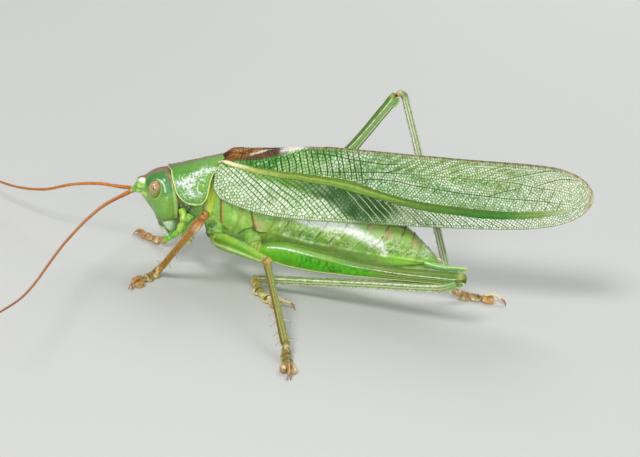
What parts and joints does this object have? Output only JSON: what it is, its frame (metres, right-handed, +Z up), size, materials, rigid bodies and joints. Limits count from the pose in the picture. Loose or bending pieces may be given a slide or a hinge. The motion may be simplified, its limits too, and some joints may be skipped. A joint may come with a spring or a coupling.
{
  "type": "great green bush-cricket (long-horned grasshopper), adult male",
  "caption": "Life-size still model of a green long-horned grasshopper standing with folded wings, long feelers and raised hind knees.",
  "frame": {"origin": "centre of the bounding box at floor level, where the soles of the feet rest", "axes": "+X from head to wing tips, +Y towards the animal's right side, +Z up"},
  "size_m": [0.0866, 0.068, 0.0223],
  "materials": {
    "green_cuticle": "satin green cuticle with a waxy sheen",
    "soft_body_cuticle": "yellow-green plated skin with soft folds",
    "wing_membrane": "leathery green wing with raised veins and a silvery sheen",
    "brown_leg_cuticle": "satin orange-brown and olive cuticle",
    "pale_mouth_cuticle": "pale bluish-green satin",
    "feeler_cuticle": "finely ringed orange-brown satin",
    "eye": "finely faceted glossy pinkish tan"
  },
  "bodies": {
    "root": {"abdomen": "soft_body_cuticle", "antenna_left_base": "feeler_cuticle", "antenna_left_middle": "feeler_cuticle", "antenna_left_tip": "feeler_cuticle", "antenna_right_base": "feeler_cuticle", "antenna_right_middle": "feeler_cuticle", "antenna_right_tip": "feeler_cuticle", "cercus_left": "green_cuticle", "cercus_right": "green_cuticle", "coxa_fore_left": "green_cuticle", "coxa_fore_right": "green_cuticle", "coxa_hind_left": "green_cuticle", "coxa_hind_right": "green_cuticle", "coxa_mid_left": "green_cuticle", "coxa_mid_right": "green_cuticle", "eye_left": "eye", "eye_right": "eye", "femur_fore_left": "green_cuticle", "femur_fore_right": "green_cuticle", "femur_hind_left": "green_cuticle", "femur_hind_right": "green_cuticle", "femur_mid_left": "green_cuticle", "femur_mid_right": "green_cuticle", "head": "green_cuticle", "hindwing_left": "wing_membrane", "hindwing_right": "wing_membrane", "labrum": "pale_mouth_cuticle", "mandible_left": "pale_mouth_cuticle", "mandible_right": "pale_mouth_cuticle", "mesothorax": "soft_body_cuticle", "metathorax": "soft_body_cuticle", "palp_labial_left": "pale_mouth_cuticle", "palp_labial_right": "pale_mouth_cuticle", "palp_maxillary_left": "green_cuticle", "palp_maxillary_right": "green_cuticle", "pronotum": "green_cuticle", "prothorax": "soft_body_cuticle", "scape_left": "green_cuticle", "scape_right": "green_cuticle", "subgenital_plate": "green_cuticle", "tarsus_fore_left": "brown_leg_cuticle", "tarsus_fore_right": "brown_leg_cuticle", "tarsus_hind_left": "brown_leg_cuticle", "tarsus_hind_right": "brown_leg_cuticle", "tarsus_mid_left": "brown_leg_cuticle", "tarsus_mid_right": "brown_leg_cuticle", "tegmen_left": "wing_membrane", "tegmen_right": "wing_membrane", "tibia_fore_left": "brown_leg_cuticle", "tibia_fore_right": "brown_leg_cuticle", "tibia_hind_left": "green_cuticle", "tibia_hind_right": "green_cuticle", "tibia_mid_left": "brown_leg_cuticle", "tibia_mid_right": "brown_leg_cuticle"}
  },
  "joints": []
}
